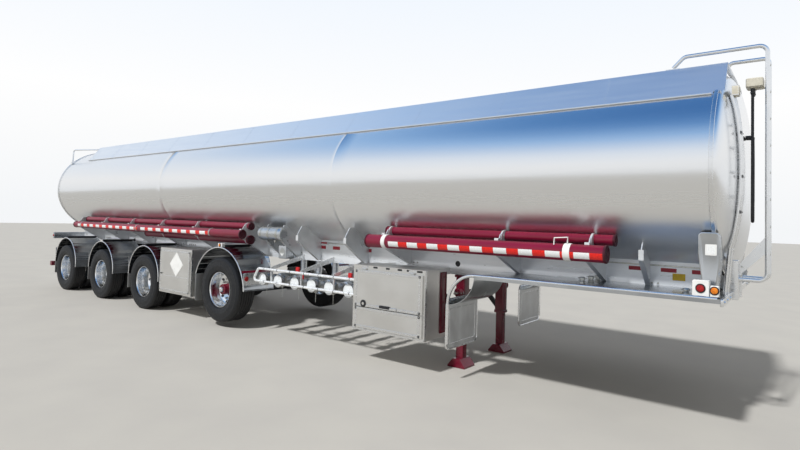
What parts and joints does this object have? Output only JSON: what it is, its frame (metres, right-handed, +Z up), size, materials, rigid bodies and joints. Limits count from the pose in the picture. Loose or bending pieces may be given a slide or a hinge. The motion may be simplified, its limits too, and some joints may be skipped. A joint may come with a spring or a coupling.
{
  "type": "fuel tanker trailer",
  "caption": "Elliptical aluminium tank semi-trailer on twin-tyred axles and a lifted steered axle, with side cabinets, loading row, hose tubes, ladder and landing legs.",
  "frame": {"origin": "centre of the box's underside, at floor level", "axes": "+X forward to the coupling end, +Y to the trailer's left, +Z up"},
  "size_m": [14.728, 2.5918, 3.531],
  "materials": {
    "bare_aluminium": "satin",
    "black_plastic": "matt",
    "black_rubber": "matt",
    "black_steel": "satin",
    "bright_steel": "satin",
    "maroon_paint": "gloss",
    "polished_aluminium": "polished",
    "red_lens": "gloss",
    "tyre_rubber": "matt",
    "wheel_aluminium": "polished",
    "white_paint": "gloss",
    "white_plastic": "gloss"
  },
  "bodies": {
    "trailer": {"adaptor_caps": "white_plastic", "air_hoses": "black_rubber", "air_reservoirs": "polished_aluminium", "air_springs": "black_rubber", "axle_beams": "black_steel", "brake_chambers": "black_steel", "cabinet_body": "bare_aluminium", "coupler_plate": "black_steel", "fenders": "polished_aluminium", "frame_rails": "bare_aluminium", "front_bumper": "white_paint", "front_decks": "bare_aluminium", "guard_bars": "white_paint", "head_conduits": "bare_aluminium", "hose_holder": "black_plastic", "hose_tubes": "maroon_paint", "kingpin": "bright_steel", "ladder": "polished_aluminium", "landing_legs": "maroon_paint", "loading_pipes": "bare_aluminium", "manhole_collars": "bare_aluminium", "marker_lamps": "red_lens", "mudflaps": "black_rubber", "outrigger_gussets": "bare_aluminium", "rear_bumper": "maroon_paint", "rear_lamps": "red_lens", "small_cabinet": "bare_aluminium", "steer_axle": "black_steel", "suspension_hangers": "black_steel", "tank_shell": "polished_aluminium", "top_coaming": "bare_aluminium", "trailing_arms": "black_steel", "vapour_pipe": "bare_aluminium", "walkway": "bare_aluminium"},
    "wheel_set_1_right": {"tyres_1_right": "tyre_rubber", "wheels_1_right": "wheel_aluminium"},
    "wheel_set_1_left": {"tyres_1_left": "tyre_rubber", "wheels_1_left": "wheel_aluminium"},
    "wheel_set_2_right": {"tyres_2_right": "tyre_rubber", "wheels_2_right": "wheel_aluminium"},
    "wheel_set_2_left": {"tyres_2_left": "tyre_rubber", "wheels_2_left": "wheel_aluminium"},
    "wheel_set_3_right": {"tyres_3_right": "tyre_rubber", "wheels_3_right": "wheel_aluminium"},
    "wheel_set_3_left": {"tyres_3_left": "tyre_rubber", "wheels_3_left": "wheel_aluminium"},
    "steer_knuckle_right": {"steer_knuckle_right": "black_steel"},
    "steer_wheel_right": {"steer_tyre_right": "tyre_rubber", "steer_wheel_right": "wheel_aluminium"},
    "steer_knuckle_left": {"steer_knuckle_left": "black_steel"},
    "steer_wheel_left": {"steer_tyre_left": "tyre_rubber", "steer_wheel_left": "wheel_aluminium"},
    "tie_rod": {"tie_rod": "black_steel"},
    "cabinet_door_upper": {"cabinet_door_upper": "bare_aluminium"},
    "cabinet_door_lower": {"cabinet_door_lower": "bare_aluminium"},
    "small_cabinet_door": {"small_cabinet_door": "bare_aluminium"},
    "manhole_lid_1": {"manhole_lid_1": "bare_aluminium"},
    "manhole_lid_2": {"manhole_lid_2": "bare_aluminium"},
    "manhole_lid_3": {"manhole_lid_3": "bare_aluminium"},
    "manhole_lid_4": {"manhole_lid_4": "bare_aluminium"}
  },
  "joints": [
    {"name": "wheel_set_1_right_spin", "type": "hinge", "parent": "trailer", "child": "wheel_set_1_right", "pos_m": [-6.235, -0.9835, 0.515], "axis": [0, 1, 0], "continuous": true},
    {"name": "wheel_set_1_left_spin", "type": "hinge", "parent": "trailer", "child": "wheel_set_1_left", "pos_m": [-6.235, 0.9835, 0.515], "axis": [0, 1, 0], "continuous": true},
    {"name": "wheel_set_2_right_spin", "type": "hinge", "parent": "trailer", "child": "wheel_set_2_right", "pos_m": [-4.405, -0.9835, 0.515], "axis": [0, 1, 0], "continuous": true},
    {"name": "wheel_set_2_left_spin", "type": "hinge", "parent": "trailer", "child": "wheel_set_2_left", "pos_m": [-4.405, 0.9835, 0.515], "axis": [0, 1, 0], "continuous": true},
    {"name": "wheel_set_3_right_spin", "type": "hinge", "parent": "trailer", "child": "wheel_set_3_right", "pos_m": [-2.575, -0.9835, 0.515], "axis": [0, 1, 0], "continuous": true},
    {"name": "wheel_set_3_left_spin", "type": "hinge", "parent": "trailer", "child": "wheel_set_3_left", "pos_m": [-2.575, 0.9835, 0.515], "axis": [0, 1, 0], "continuous": true},
    {"name": "steer_right", "type": "hinge", "parent": "trailer", "child": "steer_knuckle_right", "pos_m": [-0.095, -0.8, 0.605], "axis": [0, 0, 1], "range_deg": [-18, 18]},
    {"name": "steer_wheel_right_spin", "type": "hinge", "parent": "steer_knuckle_right", "child": "steer_wheel_right", "pos_m": [-0.095, -1.095, 0.605], "axis": [0, 1, 0], "continuous": true},
    {"name": "steer_left", "type": "hinge", "parent": "trailer", "child": "steer_knuckle_left", "pos_m": [-0.095, 0.8, 0.605], "axis": [0, 0, 1], "range_deg": [-18, 18]},
    {"name": "steer_wheel_left_spin", "type": "hinge", "parent": "steer_knuckle_left", "child": "steer_wheel_left", "pos_m": [-0.095, 1.095, 0.605], "axis": [0, 1, 0], "continuous": true},
    {"name": "tie_rod_swing", "type": "hinge", "parent": "steer_knuckle_right", "child": "tie_rod", "pos_m": [-0.325, -0.8, 0.482], "axis": [0, 0, 1], "range_deg": [-18, 18]},
    {"name": "cabinet_door_upper_hinge", "type": "hinge", "parent": "trailer", "child": "cabinet_door_upper", "pos_m": [3.475, -1.2693, 1.19], "axis": [-1, 0, 0], "range_deg": [0, 110]},
    {"name": "cabinet_door_lower_hinge", "type": "hinge", "parent": "trailer", "child": "cabinet_door_lower", "pos_m": [3.475, -1.2693, 0.426], "axis": [1, 0, 0], "range_deg": [0, 160]},
    {"name": "small_cabinet_door_hinge", "type": "hinge", "parent": "trailer", "child": "small_cabinet_door", "pos_m": [-0.955, -1.2683, 0.8], "axis": [0, 0, 1], "range_deg": [0, 120]},
    {"name": "manhole_lid_1_hinge", "type": "hinge", "parent": "trailer", "child": "manhole_lid_1", "pos_m": [-5.489, 0, 3.448], "axis": [0, -1, 0], "range_deg": [0, 100]},
    {"name": "manhole_lid_2_hinge", "type": "hinge", "parent": "trailer", "child": "manhole_lid_2", "pos_m": [-2.039, 0, 3.448], "axis": [0, -1, 0], "range_deg": [0, 100]},
    {"name": "manhole_lid_3_hinge", "type": "hinge", "parent": "trailer", "child": "manhole_lid_3", "pos_m": [1.461, 0, 3.448], "axis": [0, -1, 0], "range_deg": [0, 100]},
    {"name": "manhole_lid_4_hinge", "type": "hinge", "parent": "trailer", "child": "manhole_lid_4", "pos_m": [4.911, 0, 3.448], "axis": [0, -1, 0], "range_deg": [0, 100]}
  ],
  "couplings": [
    {"joint": "steer_left", "follows": "steer_right", "ratio": 1},
    {"joint": "tie_rod_swing", "follows": "steer_right", "ratio": -1}
  ]
}
